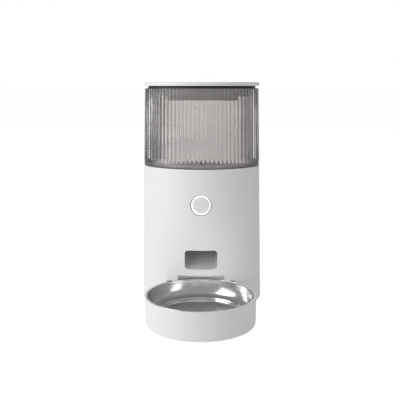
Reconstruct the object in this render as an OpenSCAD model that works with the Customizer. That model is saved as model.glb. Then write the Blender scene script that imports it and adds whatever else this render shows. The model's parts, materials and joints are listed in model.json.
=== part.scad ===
// Automatic pet feeder: an oval tower with a lift-off hopper and lid,
// a motor-driven portion wheel, a food chute and a pull-out bowl holder.
// Front is -Y, up is +Z, origin on the floor at the middle of the footprint.

/* [Tower] */
// Height of the whole feeder from floor to lid top
total_h = 330; // [320:1:400]
// Width across the tower at its foot
tower_w = 182.4; // [150:1:222]
// How far the front bulges ahead of the widest line
front_bulge = 71; // [62:0.5:80]
// How far the back stands behind the widest line
rear_depth = 78; // [74:1:96]
// Radius of the front corners
front_corner_r = 50; // [40:1:56]
// Radius of the rear corners
rear_corner_r = 35; // [26:1:38]
// Inward lean of the walls for each millimetre of height
draft = 0.0226; // [0.01:0.0002:0.03]
// Wall of the body shell
body_wall = 2.6; // [2:0.1:3.2]
// Rounding of the bottom edge of the body
foot_edge_r = 4; // [2:0.5:6]
// Space between the floor and the body shell
floor_gap = 1.5; // [1:0.1:2]

/* [Hopper and lid] */
// Height of the top edge of the body shell
seam_z = 207.8; // [205:0.1:230]
// Gap between the body shell and the hopper
seam_gap = 0.8; // [0.5:0.1:1.5]
// Wall of the clear hopper
hopper_wall = 2.4; // [1.6:0.1:3]
// Thickness of the lid
lid_t = 5.4; // [4:0.1:8]
// Overhang of the lid past the hopper
lid_overhang = 0.8; // [0.4:0.1:2]
// Shadow gap between the hopper rim and the lid
lid_gap = 3.4; // [2:0.1:5]
// Depth of the lid plug below the lid
plug_depth = 15; // [12:1:20]
// Wall of the lid plug
plug_wall = 2.2; // [1.6:0.1:3]
// Width and depth of the desiccant box
desiccant_size = [104, 84]; // [70:1:110]
// Depth of the desiccant box below the lid
desiccant_depth = 22; // [20:1:30]

/* [Bowl and holder] */
// Outer diameter of the bowl holder
holder_d = 153.8; // [135:1:185]
// Height of the bowl holder rim
holder_h = 41.7; // [38:1:50]
// Wall of the bowl holder
holder_wall = 2.6; // [2:0.1:3.2]
// Distance of the bowl centre ahead of the widest line of the tower
bowl_forward = 115.7; // [110:0.1:130]
// Thickness of the steel bowl
bowl_t = 0.8; // [0.6:0.1:1.2]
// Height of the bowl floor
bowl_floor_z = 12; // [10:0.5:14]
// Radius of the flat bowl floor
bowl_floor_r = 58; // [45:1:60]
// Height of the opening that the holder slides into
recess_h = 53; // [50:1:62]
// Space between the holder and the recess
recess_gap = 1; // [0.6:0.1:2]
// Clearance above the bowl's rim under the tower
rim_clearance = 1.3; // [1:0.1:6]
// Width of the slot in the tower's front above the bowl
slot_w = 68; // [40:1:80]

/* [Front] */
// Height of the middle of the food outlet
outlet_z = 76.8; // [74:0.1:84]
// Width and height of the food outlet
outlet_size = [47.2, 27.9]; // [24:0.1:56]
// Width of the lip round the food outlet
outlet_lip = 1.2; // [0.8:0.1:2]
// Height of the middle of the feed button
button_z = 156.6; // [150:0.1:165]
// Radius of the feed button
button_r = 11.3; // [9:0.1:13]
// Width of the light ring
ring_w = 2.5; // [1.5:0.1:4]
// Travel of the feed button
button_travel = 1.2; // [0.6:0.1:1.5]

/* [Portion drive] */
// Radius of the portion wheel
wheel_r = 42.6; // [38:0.1:46]
// Height of the portion wheel
wheel_h = 35; // [26:1:38]
// Number of chambers in the portion wheel
chambers = 6; // [4:1:8]
// Distance of the wheel axis behind the widest line of the tower
wheel_back = 15; // [12:1:20]
// Gear module
gear_m = 0.8; // [0.6:0.1:0.9]
// Teeth on the output gear
gear_teeth = 36; // [30:3:39]
// Teeth on the motor pinion
pinion_teeth = 12; // [12:1:15]
// Radius of the drive shaft
shaft_r = 4; // [3:0.1:5]
// Radius of the motor
motor_r = 12; // [10:0.5:15]
// Length of the motor
motor_len = 31; // [24:1:36]

/* [Rear] */
// Width and height of the battery door
door_size = [92, 40]; // [30:1:100]
// Height of the middle of the battery door
door_z = 36; // [32:1:44]
// Size of the power inlet opening
inlet_size = [9.4, 3.6]; // [3:0.1:14]
// Radius of the reset button
reset_r = 3; // [2:0.1:5]
// Radius of the speaker
speaker_r = 18; // [14:0.5:22]

/* [Clearances] */
// Gap between pieces that lift or slide apart
slide_gap = 0.5; // [0.4:0.1:0.8]
// Radial clearance of a shaft that turns in its hole
run_gap = 0.06; // [0.02:0.01:0.1]
// Gap between fixed pieces that sit in one another
seat_gap = 0.1; // [0.05:0.05:0.3]

/* [Hidden] */

round_fn = 64;
small_fn = 32;
over = 1; // how far a cut runs past the face that it opens
eps = 0.01;

holder_r = holder_d / 2;
tower_y = (bowl_forward + holder_r - rear_depth) / 2;
bowl_y = tower_y - bowl_forward;
half_w = tower_w / 2;
side_x = half_w - front_corner_r;
front_arc_r = (half_w * half_w + front_bulge * front_bulge - 2 * half_w * front_corner_r)
    / (2 * (front_bulge - front_corner_r));
front_arc_y = front_arc_r - front_bulge;
front_arc_half = atan2(side_x, front_arc_y);
foot_z = floor_gap + foot_edge_r;

hopper_z = seam_z + seam_gap;
lid_z = total_h - lid_t;
hopper_top = lid_z - lid_gap;

// Inward lean of the tower surface at height z
function lean(z) = draft * (z - foot_z);
// Front and rear surfaces of the tower on its middle plane
function front_y(z) = tower_y - front_bulge + lean(z);
function rear_y(z) = tower_y + rear_depth - lean(z);

// Points of an arc round c, from angle a0 towards a1; the last is left out unless whole is true
function arc(c, r, a0, a1, steps, whole) =
    [for (i = [0 : steps - (whole ? 0 : 1)]) let (a = a0 + (a1 - a0) * i / steps)
        [c[0] + r * cos(a), c[1] + r * sin(a)]];

// Oval tower outline, moved inwards by inset
function outline(inset) = let (q = tower_y, w = front_arc_half, rx = half_w - rear_corner_r,
    ry = tower_y + rear_depth - rear_corner_r, fr = front_corner_r - inset, rr = rear_corner_r - inset)
    concat(
        arc([0, q + front_arc_y], front_arc_r - inset, -90 - w, -90 + w, 18, false),
        arc([side_x, q], fr, -90 + w, 0, 7, true),
        arc([rx, ry], rr, 0, 90, 8, true),
        arc([-rx, ry], rr, 90, 180, 8, true),
        arc([-side_x, q], fr, 180, 270 - w, 7, false));

// Ring of points at height z with the tower's lean, moved inwards by inset
function ring(z, inset) = [for (p = outline(lean(z) + inset)) [p[0], p[1], z]];
// Level ring without the lean
function level_ring(z, inset) = [for (p = outline(inset)) [p[0], p[1], z]];
// Round ring about a centre, with one point for each point of the outline
function round_ring(z, r, c) = [for (p = outline(0)) let (v = p - c)
    [c[0] + r * v[0] / norm(v), c[1] + r * v[1] / norm(v), z]];

// Closed solid through a stack of rings, lowest first
module loft(rings) {
    n = len(rings[0]);
    m = len(rings);
    sides = [for (k = [0 : m - 2], i = [0 : n - 1]) let (j = (i + 1) % n)
        each [[k * n + i, (k + 1) * n + i, (k + 1) * n + j], [k * n + i, (k + 1) * n + j, k * n + j]]];
    bottom = [for (i = [0 : n - 1]) i];
    top = [for (i = [n - 1 : -1 : 0]) (m - 1) * n + i];
    polyhedron(points = [for (r = rings) each r], faces = concat([bottom], sides, [top]));
}

module rounded_rect(size, r) {
    square([size[0] - 2 * r, size[1]], center = true);
    square([size[0], size[1] - 2 * r], center = true);
    for (sx = [-1, 1], sy = [-1, 1])
        translate([sx * (size[0] / 2 - r), sy * (size[1] / 2 - r)]) circle(r, $fn = small_fn);
}

// Prism along Y from y0 to y1, centred on x and z
module y_prism(size, r, x, z, y0, y1) {
    translate([x, y1, z]) rotate([90, 0, 0]) linear_extrude(y1 - y0) rounded_rect(size, r);
}

// Cylinder along Y from y0 to y1
module y_cylinder(r, x, z, y0, y1) {
    translate([x, y1, z]) rotate([90, 0, 0]) cylinder(r = r, h = y1 - y0, $fn = round_fn);
}

module tube(r_out, r_in, h) {
    difference() {
        cylinder(r = r_out, h = h, $fn = round_fn);
        translate([0, 0, -over]) cylinder(r = r_in, h = h + 2 * over, $fn = round_fn);
    }
}

module screw(head_r, head_h, shank_r, length) {
    cylinder(r = head_r, h = head_h, $fn = small_fn);
    translate([0, 0, head_h - eps]) cylinder(r = shank_r, h = length, $fn = small_fn);
}

// ---- Gears ----
pressure_angle = 25;
backlash = 0.05;
function involute(base_r, t) = base_r * [cos(t) + t * PI / 180 * sin(t), sin(t) - t * PI / 180 * cos(t)];
function turn(p, a) = [p[0] * cos(a) - p[1] * sin(a), p[0] * sin(a) + p[1] * cos(a)];
// Roll angle at which the involute reaches radius r
function roll(base_r, r) = 180 / PI * sqrt(max(0, r * r / (base_r * base_r) - 1));
// Half angle of a tooth at its base circle
function base_half(teeth, base_r) = let (pr = gear_m * teeth / 2, t = roll(base_r, pr))
    90 / teeth - backlash / pr * 180 / PI + t - atan(t * PI / 180);
function tooth(teeth) = let (pr = gear_m * teeth / 2, base_r = pr * cos(pressure_angle),
    tip = pr + 0.9 * gear_m, root = pr - 1.2 * gear_m, half = base_half(teeth, base_r),
    end = roll(base_r, tip))
    concat([turn([root, 0], -half)],
        [for (i = [0 : 4]) turn(involute(base_r, end * i / 4), -half)],
        [for (i = [4 : -1 : 0]) let (p = involute(base_r, end * i / 4)) turn([p[0], -p[1]], half)],
        [turn([root, 0], half)]);
module gear(teeth, width, bore, phase) {
    difference() {
        linear_extrude(width)
            polygon([for (k = [0 : teeth - 1]) each [for (p = tooth(teeth)) turn(p,
                phase + 360 * k / teeth)]]);
        translate([0, 0, -over]) cylinder(r = bore, h = width + 2 * over, $fn = round_fn);
    }
}

// ---- Places inside the tower ----
wheel_y = tower_y + wheel_back;
funnel_throat_z = seam_z - 17.6;
cover_t = 2.4;
housing_wall = 2.8;
housing_r = wheel_r + 0.6;
wheel_gap = 0.9;
wheel_top = funnel_throat_z - 1.5;
wheel_z = wheel_top - wheel_h;
housing_z = wheel_z - wheel_gap - cover_t;
axle_r = shaft_r + 1;
cup_r = axle_r + 3;
blade = [8.6, 3];
coupling_top = housing_z - 1.5;
cup_h = 8;
gear_w = 6;
gear_gap = 1;
case_wall = 2;
cover_z = coupling_top - cup_h - gear_gap - case_wall;
gear_z = cover_z - gear_gap - gear_w;
case_z = gear_z - gear_gap - case_wall;
centre_distance = gear_m * (gear_teeth + pinion_teeth) / 2;
pinion_y = wheel_y + centre_distance;
motor_shaft_r = 1.5;
motor_boss_r = 4;
gear_tip_r = gear_m * (gear_teeth / 2 + 1);
pinion_tip_r = gear_m * (pinion_teeth / 2 + 1);
deck_z = funnel_throat_z - 6;
deck_t = 3;
base_z = foot_z - 3.5;
base_t = 3;
boss_r = 4.5;
boss_h = 17;
pilot_r = 1.3;
shank_r = 1.25;

// Screw bosses that tie the base plate to the body shell
boss_inset = body_wall + boss_r - 1;
boss_places = [for (s = [-1, 1]) each [[s * (half_w - boss_inset), tower_y + 6],
    [s * (half_w - rear_corner_r - 3), tower_y + rear_depth - boss_inset]]];
deck_boss_places = [for (s = [-1, 1]) each [[s * (half_w - lean(deck_z) - boss_inset), tower_y + 4],
    [s * (half_w - rear_corner_r - 6), tower_y + rear_depth - lean(deck_z) - boss_inset]]];

// ---- Lid ----
plug_inset = hopper_wall + slide_gap;
seal_h = 4;
seal_z = hopper_top - 5;
module lid() {
    edge = 1.6;
    color("white")
        loft([ring(lid_z, -lid_overhang), ring(lid_z + lid_t - edge, -lid_overhang),
            ring(lid_z + lid_t - edge * 0.3, -lid_overhang + edge * 0.3),
            ring(lid_z + lid_t, -lid_overhang + edge)]);
}

// The plug hangs inside the hopper, with the seal round it
plug_lip = 2.2;
module lid_plug() {
    z0 = lid_z - plug_depth;
    inner = plug_inset + plug_lip + plug_wall;
    color("whitesmoke") difference() {
        loft([ring(z0, plug_inset + plug_lip), ring(lid_z, plug_inset + plug_lip)]);
        loft([ring(z0 - over, inner), ring(lid_z - plug_wall, inner)]);
    }
}

module lid_seal() {
    color("lightgray") difference() {
        loft([ring(seal_z, plug_inset), ring(seal_z + seal_h, plug_inset)]);
        loft([ring(seal_z - over, plug_inset + plug_lip), ring(seal_z + seal_h + over,
            plug_inset + plug_lip)]);
    }
}

desiccant_y = tower_y + 2;
desiccant_r = 12;
desiccant_wall = 1.8;
twist_r = desiccant_size[1] / 2 - 6;
twist_h = 2.4;
module desiccant_box() {
    z0 = lid_z - desiccant_depth;
    h = desiccant_depth - plug_wall;
    inner = [desiccant_size[0] - 2 * desiccant_wall, desiccant_size[1] - 2 * desiccant_wall];
    color("gainsboro") translate([0, desiccant_y, z0]) difference() {
        linear_extrude(h) rounded_rect(desiccant_size, desiccant_r);
        translate([0, 0, twist_h + 1]) linear_extrude(h) rounded_rect(inner, desiccant_r - desiccant_wall);
        translate([0, 0, -over]) cylinder(r = twist_r + run_gap, h = twist_h + over, $fn = round_fn);
        translate([0, 0, -over]) cylinder(r = twist_r - 4, h = twist_h + 3, $fn = round_fn);
    }
}

module desiccant_cover() {
    z0 = lid_z - desiccant_depth;
    color("silver") translate([0, desiccant_y, z0]) difference() {
        cylinder(r = twist_r, h = twist_h - 0.3, $fn = round_fn);
        for (k = [0 : 5]) rotate(k * 60) translate([twist_r / 2, 0, -over])
            cylinder(r = 4, h = 4, $fn = small_fn);
        for (s = [-1, 1]) translate([s * 9, 0, -over]) linear_extrude(over + 1.2)
            square([5, 12], center = true);
    }
}

// ---- Hopper ----
flange_h = 6;
module hopper() {
    color([0.45, 0.46, 0.48, 0.6]) difference() {
        loft([ring(hopper_z, 0), ring(hopper_top, 0)]);
        loft([ring(hopper_z - over, hopper_wall), ring(hopper_top + over, hopper_wall)]);
    }
}

module hopper_floor() {
    out = hopper_wall + seat_gap;
    t = 2.2;
    throat = [0, wheel_y];
    z_edge = hopper_z + flange_h;
    color([0.2, 0.2, 0.21]) difference() {
        loft([round_ring(funnel_throat_z, housing_r + housing_wall, throat), ring(hopper_z, out),
            ring(z_edge, out)]);
        loft([round_ring(funnel_throat_z - eps, housing_r, throat), ring(hopper_z + t, out + t),
            ring(z_edge + over, out + t)]);
        translate([0, wheel_y, funnel_throat_z - over])
            cylinder(r = housing_r, h = over + eps, $fn = round_fn);
    }
}

// Half disc that keeps the food off the chamber over the chute
module wheel_cover() {
    color([0.25, 0.25, 0.26]) translate([0, wheel_y, funnel_throat_z]) difference() {
        cylinder(r = housing_r - 0.8, h = cover_t, $fn = round_fn);
        translate([-wheel_r - over, 0, -over])
            cube([2 * (wheel_r + over), wheel_r + over, cover_t + 2 * over]);
        translate([0, 0, -over]) cylinder(r = axle_r + 2, h = cover_t + 2 * over, $fn = round_fn);
    }
}

wiper_t = 1.6;
module wiper() {
    color("darkorange") for (s = [0, 1]) mirror([s, 0, 0])
        translate([axle_r + 4, wheel_y + seat_gap, funnel_throat_z - 1])
            cube([wheel_r - axle_r - 8, wiper_t, cover_t + 1]);
}

module wheel_housing() {
    color([0.22, 0.22, 0.23]) translate([0, wheel_y, housing_z]) difference() {
        cylinder(r = housing_r + housing_wall, h = funnel_throat_z - housing_z, $fn = round_fn);
        translate([0, 0, cover_t]) cylinder(r = housing_r, h = funnel_throat_z, $fn = round_fn);
        translate([0, 0, -over]) cylinder(r = axle_r + run_gap, h = cover_t + 2 * over, $fn = round_fn);
        intersection() {
            translate([0, 0, -over]) cylinder(r = housing_r - 2, h = cover_t + 2 * over, $fn = round_fn);
            translate([-outlet_size[0] / 2 + 1, -housing_r - over, -over])
                cube([outlet_size[0] - 2, housing_r + over - chute_back, cover_t + 2 * over]);
        }
    }
}

hub_r = axle_r + 3;
vane_t = 2.4;
module portion_wheel() {
    color("dimgray") translate([0, wheel_y, wheel_z]) {
        difference() {
            union() {
                rotate(90 / chambers) cylinder(r = hub_r, h = wheel_h, $fn = round_fn);
                for (k = [0 : chambers - 1]) rotate(90 + 180 / chambers + k * 360 / chambers)
                    translate([hub_r - 1, -vane_t / 2, 0]) cube([wheel_r - hub_r, vane_t, wheel_h]);
                translate([0, 0, -wheel_z + housing_z - 1])
                    cylinder(r = axle_r, h = wheel_z - housing_z + 2, $fn = round_fn);
            }
            translate([0, 0, wheel_h - 12]) cylinder(r = 3, h = 12 + over, $fn = round_fn);
        }
        translate([-blade[0] / 2, -blade[1] / 2, coupling_top - wheel_z - 4])
            cube([blade[0], blade[1], housing_z - coupling_top + 4]);
    }
}

arm_r = 2.4;
module stirrer() {
    color("gray") translate([0, wheel_y, wheel_top]) {
        translate([0, 0, -11.8]) cylinder(r = 3 - seat_gap / 2, h = 12, $fn = round_fn);
        cylinder(r = axle_r + 1.2, h = 9, $fn = round_fn);
        for (s = [0, 180]) rotate([0, 0, s + 30]) translate([0, 0, 7]) rotate([0, 78, 0])
            cylinder(r = arm_r, h = wheel_r - 8, $fn = small_fn);
        cylinder(r = 3, h = 22, $fn = small_fn);
        translate([0, 0, 22]) sphere(r = 4, $fn = small_fn);
    }
}

// ---- Drive ----
module drive_coupling() {
    bottom = case_z + 0.2;
    color("ivory") translate([0, wheel_y, 0]) difference() {
        union() {
            translate([0, 0, bottom])
                cylinder(r = shaft_r, h = coupling_top - cup_h - bottom + eps, $fn = round_fn);
            translate([0, 0, coupling_top - cup_h]) cylinder(r = cup_r, h = cup_h, $fn = round_fn);
        }
        translate([-blade[0] / 2 - slide_gap, -blade[1] / 2 - slide_gap, coupling_top - 5])
            cube([blade[0] + 2 * slide_gap, blade[1] + 2 * slide_gap, 6]);
    }
}

module output_gear() {
    color("ivory") translate([0, wheel_y, gear_z]) gear(gear_teeth, gear_w, shaft_r, 90);
}

module motor_pinion() {
    color("khaki") translate([0, pinion_y, 0]) {
        translate([0, 0, gear_z]) gear(pinion_teeth, gear_w, motor_shaft_r, -90 + 180 / pinion_teeth);
        translate([0, 0, case_z - 6])
            cylinder(r = motor_shaft_r, h = gear_z + gear_w - case_z + 6, $fn = round_fn);
    }
}

module motor() {
    color("silver") translate([0, pinion_y, case_z - motor_len]) difference() {
        union() {
            cylinder(r = motor_r, h = motor_len, $fn = round_fn);
            translate([0, 0, -2]) cylinder(r = motor_r / 2, h = 3, $fn = small_fn);
            cylinder(r = motor_boss_r, h = motor_len + case_wall, $fn = small_fn);
        }
        translate([0, 0, motor_len - 7]) cylinder(r = motor_shaft_r + run_gap, h = 11, $fn = round_fn);
    }
}

// Footprint of the gearbox, grown by g
module gearbox_plan(g) {
    r = gear_tip_r + 1 + g;
    translate([0, wheel_y]) circle(r, $fn = round_fn);
    translate([0, pinion_y]) circle(pinion_tip_r + 7 + g, $fn = round_fn);
    translate([-pinion_tip_r - 7 - g, wheel_y]) square([2 * (pinion_tip_r + 7 + g), centre_distance]);
}

ear_places = [for (s = [-1, 1]) each [[s * (gear_tip_r + 4), wheel_y + 9],
    [s * (pinion_tip_r + 9), pinion_y + 6]]];
module gearbox_case() {
    h = cover_z - case_z;
    color([0.3, 0.3, 0.32]) difference() {
        union() {
            translate([0, 0, case_z]) linear_extrude(h) gearbox_plan(case_wall);
            for (p = ear_places) translate([p[0], p[1], case_z]) cylinder(r = 4, h = h, $fn = small_fn);
        }
        translate([0, 0, case_z + case_wall]) linear_extrude(h) gearbox_plan(0);
        translate([0, wheel_y, case_z - over])
            cylinder(r = shaft_r + run_gap, h = 2 * case_wall, $fn = round_fn);
        translate([0, pinion_y, case_z - over])
            cylinder(r = motor_boss_r + seat_gap, h = 2 * case_wall, $fn = round_fn);
        for (p = ear_places) translate([p[0], p[1], case_z - over])
            cylinder(r = pilot_r, h = h + 2 * over, $fn = small_fn);
    }
}

module gearbox_cover() {
    color([0.34, 0.34, 0.36]) difference() {
        union() {
            translate([0, 0, cover_z]) linear_extrude(case_wall) gearbox_plan(case_wall);
            for (p = ear_places) translate([p[0], p[1], cover_z])
                cylinder(r = 4, h = case_wall, $fn = small_fn);
        }
        translate([0, wheel_y, cover_z - over])
            cylinder(r = shaft_r + run_gap, h = 2 * case_wall, $fn = round_fn);
        for (p = ear_places) translate([p[0], p[1], cover_z - over])
            cylinder(r = pilot_r, h = 2 * case_wall, $fn = small_fn);
    }
}

// Shelf on the rear wall that carries the gearbox and the motor
shelf_t = 2.4;
module motor_bracket() {
    w = 2 * (gear_tip_r + 9);
    y0 = wheel_y - gear_tip_r;
    y1 = rear_y(case_z) - body_wall - seat_gap;
    color([0.5, 0.51, 0.53]) difference() {
        union() {
            translate([-w / 2, y0, case_z - shelf_t]) cube([w, y1 - y0, shelf_t]);
            translate([-w / 2, y1 - shelf_t, case_z - 14]) cube([w, shelf_t, 14]);
        }
        translate([0, pinion_y, case_z - 2 * shelf_t])
            cylinder(r = motor_r + seat_gap, h = 3 * shelf_t, $fn = round_fn);
        translate([0, wheel_y, case_z - 2 * shelf_t])
            cylinder(r = shaft_r + 1, h = 3 * shelf_t, $fn = round_fn);
        for (p = ear_places) translate([p[0], p[1], case_z - 2 * shelf_t])
            cylinder(r = pilot_r, h = 3 * shelf_t, $fn = small_fn);
    }
}

module gearbox_screws() {
    color("silver") for (p = ear_places)
        translate([p[0], p[1], cover_z + case_wall + 1.6]) mirror([0, 0, 1]) screw(2.6, 1.6, shank_r, 10);
}

// ---- Body ----
module tower_outer(inset) {
    loft(concat(
        [for (a = [0 : 22.5 : 67.5]) level_ring(floor_gap + foot_edge_r * (1 - cos(a)) + inset * cos(a),
            inset + foot_edge_r * (1 - sin(a)))],
        [level_ring(foot_z, inset), ring(seam_z, inset)]));
}

module tower_hollow(inset) {
    loft([ring(-over, inset), ring(seam_z + over, inset)]);
}

ring_r = button_r + 0.4 + ring_w;
groove = 0.7;
tongue = [50, 4.5, 14];
tongue_z = 7;
inlet_place = [-34, 76];
reset_place = [-34, 94];
speaker_place = [40, 99];
speaker_hole_r = 1.2;
speaker_pitch = 5;

module recess(extra, h) {
    translate([0, bowl_y, -over]) cylinder(r = holder_r + recess_gap + extra, h = h + over, $fn = 96);
}

// Room for the holder: it just clears the bowl's rim, and is higher behind the slot in the front
slot_low = 20;
slot_corner = 3;
module bay_space() {
    recess(0, bowl_rim_z + rim_clearance);
    intersection() {
        recess(0, recess_h);
        y_prism([slot_w, recess_h - slot_low], slot_corner, 0, (recess_h + slot_low) / 2, bowl_y,
            bowl_y + holder_r + recess_gap);
    }
}

module speaker_holes() {
    for (i = [-3 : 3], j = [-3 : 3])
        if (norm([(i + (j % 2) / 2) * speaker_pitch, j * speaker_pitch * 0.87]) < speaker_r - 3)
            y_cylinder(speaker_hole_r, speaker_place[0] + (i + (j % 2) / 2) * speaker_pitch,
                speaker_place[1] + j * speaker_pitch * 0.87, rear_y(0) - 12, rear_y(0) + over);
}

module body_shell() {
    color("white") difference() {
        union() {
            difference() {
                tower_outer(0);
                tower_hollow(body_wall);
            }
            for (p = boss_places) translate([p[0], p[1], base_z + base_t])
                cylinder(r = boss_r, h = boss_h, $fn = small_fn);
            for (p = deck_boss_places) translate([p[0], p[1], deck_z - boss_h])
                cylinder(r = boss_r, h = boss_h, $fn = small_fn);
        }
        bay_space();
        y_prism([outlet_size[0] + 2 * outlet_lip, outlet_size[1] + 2 * outlet_lip], 5, 0, outlet_z,
            front_y(outlet_z) - over, front_y(outlet_z) + 12);
        y_cylinder(ring_r + groove, 0, button_z, front_y(button_z) - over, front_y(button_z) + 12);
        y_prism(door_size, 4, 0, door_z, rear_y(0) - 12, rear_y(0) + over);
        y_prism([inlet_size[0] + 3, inlet_size[1] + 3], 2, inlet_place[0], inlet_place[1],
            rear_y(0) - 12, rear_y(0) + over);
        y_cylinder(reset_r + 0.4, reset_place[0], reset_place[1], rear_y(0) - 12, rear_y(0) + over);
        speaker_holes();
        for (p = boss_places) translate([p[0], p[1], 0])
            cylinder(r = pilot_r, h = base_z + base_t + boss_h - 2, $fn = small_fn);
        for (p = deck_boss_places) translate([p[0], p[1], deck_z - boss_h + 2])
            cylinder(r = pilot_r, h = boss_h, $fn = small_fn);
    }
}

// Liner behind the bowl holder, with a slot for the holder's tongue
module bowl_bay() {
    color("white") difference() {
        intersection() {
            loft([ring(floor_gap, body_wall + seat_gap), ring(seam_z, body_wall + seat_gap)]);
            recess(body_wall, recess_h + body_wall);
        }
        bay_space();
        y_prism([tongue[0] + 2 * slide_gap, tongue[1] + 2 * slide_gap], 1, 0, tongue_z + tongue[1] / 2,
            bowl_y, bowl_y + holder_r + 12);
    }
}

module deck() {
    color([0.82, 0.83, 0.84]) difference() {
        loft([ring(deck_z, body_wall + seat_gap), ring(deck_z + deck_t, body_wall + seat_gap)]);
        translate([0, wheel_y, deck_z - over])
            cylinder(r = housing_r + housing_wall + slide_gap, h = deck_t + 2 * over, $fn = round_fn);
        for (p = deck_boss_places) translate([p[0], p[1], deck_z - over])
            cylinder(r = pilot_r, h = 3 * deck_t, $fn = small_fn);
    }
}

module deck_screws() {
    color("silver") for (p = deck_boss_places)
        translate([p[0], p[1], deck_z + deck_t + 1.8]) mirror([0, 0, 1]) screw(3, 1.8, shank_r, 12);
}

// ---- Chute ----
chute_wall = 2;
chute_back = 22;
chute_top = housing_z - slide_gap;
chute_rear = wheel_y - chute_back;
chute_front = wheel_y - housing_r + 4;
chute_turn = chute_top - 32;
outlet_low = outlet_z - outlet_size[1] / 2;
outlet_high = outlet_z + outlet_size[1] / 2;
module chute_plan(g) {
    y_out = front_y(outlet_z) - 2;
    drop = g * 1.35;
    polygon([[chute_rear + g, chute_top], [chute_rear + g, chute_turn - drop / 2], [y_out,
        outlet_low - drop],
        [y_out, outlet_high + drop], [chute_front - g, chute_turn + drop], [chute_front - g, chute_top]]);
}
module chute() {
    w = outlet_size[0];
    color([0.5, 0.5, 0.52]) intersection() {
        difference() {
            rotate([90, 0, 90]) translate([0, 0, -w / 2 - chute_wall]) linear_extrude(w + 2 * chute_wall)
                chute_plan(chute_wall);
            rotate([90, 0, 90]) translate([0, 0, -w / 2]) linear_extrude(w) chute_plan(0);
            translate([-w / 2, chute_front, chute_top - over])
                cube([w, chute_rear - chute_front, 2 * over]);
            for (s = [-1, 1]) translate([s * (w / 2 + chute_wall / 2), sensor_y, sensor_z])
                rotate([0, 90, 0])
                cylinder(r = sensor_r + seat_gap / 2, h = chute_wall + 2 * over, center = true,
                    $fn = small_fn);
        }
        tower_hollow(body_wall + seat_gap);
    }
}

module outlet_trim() {
    y0 = front_y(outlet_z) - 2;
    y1 = front_y(outlet_z) + 12;
    color("white") intersection() {
        difference() {
            y_prism([outlet_size[0] + 2 * outlet_lip, outlet_size[1] + 2 * outlet_lip], 5, 0, outlet_z,
                y0, y1);
            y_prism(outlet_size, 4, 0, outlet_z, y0 - over, y1 + over);
        }
        difference() {
            tower_hollow(-0.3);
            tower_hollow(body_wall);
        }
    }
}

sensor_r = 2.5;
sensor_z = outlet_high + 14;
sensor_y = (chute_front + front_y(outlet_z)) / 2 + 10;
module sensor() {
    w = outlet_size[0] / 2;
    translate([w + 0.2, sensor_y, sensor_z]) rotate([0, 90, 0])
        cylinder(r = sensor_r, h = 5, $fn = small_fn);
    translate([w + 5.2 - eps, sensor_y - 5, sensor_z - 6]) cube([1.6, 10, 12]);
}
module sensor_emitter() { color("black") sensor(); }
module sensor_receiver() { color("black") mirror([1, 0, 0]) sensor(); }

// ---- Feed button ----
face_y = front_y(button_z);
board_y = face_y + 13;
module feed_button() {
    color("whitesmoke") {
        y_cylinder(button_r, 0, button_z, face_y + 0.2, face_y + 3.4);
        y_cylinder(4, 0, button_z, face_y + 3, board_y - 3.8 - button_travel);
    }
}

module light_ring() {
    color([0.95, 0.97, 1]) translate([0, face_y + 10, button_z]) rotate([90, 0, 0])
        tube(ring_r, ring_r - ring_w, 9);
}

module button_housing() {
    color([0.2, 0.2, 0.21]) translate([0, board_y, button_z]) rotate([90, 0, 0])
        tube(ring_r + 5, ring_r + seat_gap, 8);
}

module button_board() {
    color("darkgreen") difference() {
        y_prism([2 * ring_r + 12, 2 * ring_r + 12], 3, 0, button_z, board_y, board_y + 1.6);
        for (s = [-1, 1]) y_cylinder(1.2, s * (ring_r + 3.5), button_z + ring_r + 3.5, board_y - over,
            board_y + 3);
    }
}

module button_switch() {
    color("black") {
        y_prism([6, 6], 0.5, 0, button_z, board_y - 3, board_y);
        y_cylinder(1.7, 0, button_z, board_y - 3.7, board_y - 3 + eps);
    }
}

// ---- Electronics ----
board_size = [86, 42];
board_y0 = bowl_y + holder_r + body_wall + tongue[2] + 6;
board_z = base_z + base_t + 5;
board_screw_places = [for (sx = [-1, 1], sy = [0, 1])
    [sx * (board_size[0] / 2 - 4), board_y0 + 4 + sy * (board_size[1] - 8)]];
module main_board() {
    color("darkgreen") difference() {
        translate([-board_size[0] / 2, board_y0, board_z]) cube([board_size[0], board_size[1], 1.6]);
        for (p = board_screw_places) translate([p[0], p[1], board_z - over])
            cylinder(r = 1.5, h = 5, $fn = small_fn);
    }
    color("black") {
        translate([-14, board_y0 + 12, board_z + 1.6 - eps]) cube([14, 14, 1.4]);
        translate([10, board_y0 + 10, board_z + 1.6 - eps]) cube([20, 17, 3]);
        for (i = [0 : 3]) translate([-30 + i * 7, board_y0 + 32, board_z + 1.6 - eps])
            cylinder(r = 2.6, h = 9, $fn = small_fn);
        translate([14, board_y0 + 33, board_z + 1.6 - eps]) cube([16, 6, 6]);
    }
}

module board_screws() {
    color("silver") for (p = board_screw_places)
        translate([p[0], p[1], board_z + 1.6 + 1.5]) mirror([0, 0, 1]) screw(2.4, 1.5, shank_r, 5.5);
}

module speaker() {
    y1 = rear_y(speaker_place[1] + speaker_r) - body_wall - 0.4;
    color([0.15, 0.15, 0.16]) translate([speaker_place[0], y1, speaker_place[1]]) rotate([90, 0, 0]) {
        difference() {
            cylinder(r = speaker_r, h = 4, $fn = round_fn);
            translate([0, 0, -over]) cylinder(r = speaker_r - 3, h = over + 1.6, $fn = round_fn);
        }
        translate([0, 0, 4 - eps]) cylinder(r = speaker_r * 0.6, h = 6, $fn = round_fn);
    }
}

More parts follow.
